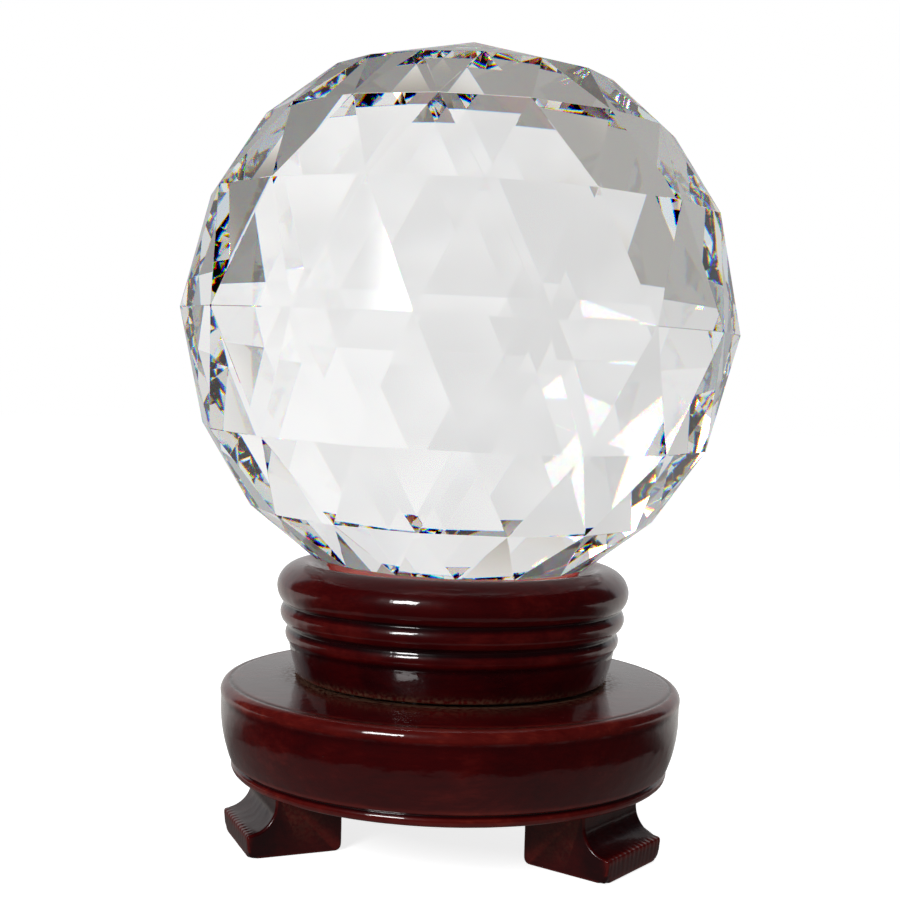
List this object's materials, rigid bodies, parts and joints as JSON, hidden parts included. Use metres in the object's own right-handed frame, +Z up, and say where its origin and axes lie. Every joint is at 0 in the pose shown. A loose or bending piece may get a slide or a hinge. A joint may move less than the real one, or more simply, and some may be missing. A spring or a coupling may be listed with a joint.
{
  "type": "crystal ball on stand",
  "caption": "Faceted clear crystal ball resting in a felt-lined wooden cup that turns on a round plinth with bracket feet.",
  "frame": {"origin": "on the stand's axis at table level, under the middle of the plinth", "axes": "+Z up along the stand's axis, -Y between the two front feet, one foot towards +Y"},
  "size_m": [0.15, 0.1498, 0.2127],
  "materials": {
    "crystal": "polished flat facets, colourless",
    "felt": "red wool felt, fuzzy cut edge",
    "cup_wood": "rosewood stain under glossy lacquer",
    "plinth_wood": "rosewood stain under glossy lacquer",
    "foot_wood": "rosewood stain under glossy lacquer, saw chatter on the toes",
    "zinc_steel": "zinc plated",
    "bearing_steel": "ground and polished",
    "cage_brass": "stamped, satin"
  },
  "bodies": {
    "stand": {"plinth": "plinth_wood", "foot_right": "foot_wood", "foot_left": "foot_wood", "foot_back": "foot_wood", "foot_screws": "zinc_steel", "race_lower": "bearing_steel"},
    "turning_cup": {"cup": "cup_wood", "felt_lining": "felt", "pivot_bolt": "zinc_steel", "bolt_washer": "zinc_steel", "race_upper": "bearing_steel", "nut_washer": "zinc_steel", "lock_nut": "zinc_steel"},
    "bearing_cage": {"ball_cage": "cage_brass", "bearing_balls": "bearing_steel"},
    "ball": {"crystal_ball": "crystal"}
  },
  "joints": [
    {"name": "cup_turn", "type": "hinge", "parent": "stand", "child": "turning_cup", "pos_m": [0, 0, 0.0416], "axis": [0, 0, 1], "continuous": true},
    {"name": "cage_turn", "type": "hinge", "parent": "stand", "child": "bearing_cage", "pos_m": [0, 0, 0.0416], "axis": [0, 0, 1], "continuous": true},
    {"name": "ball_lift", "type": "slide", "parent": "turning_cup", "child": "ball", "axis": [0, 0, 1], "range_m": [0, 0.08]}
  ],
  "couplings": [
    {"joint": "cage_turn", "follows": "cup_turn", "ratio": 0.5}
  ]
}
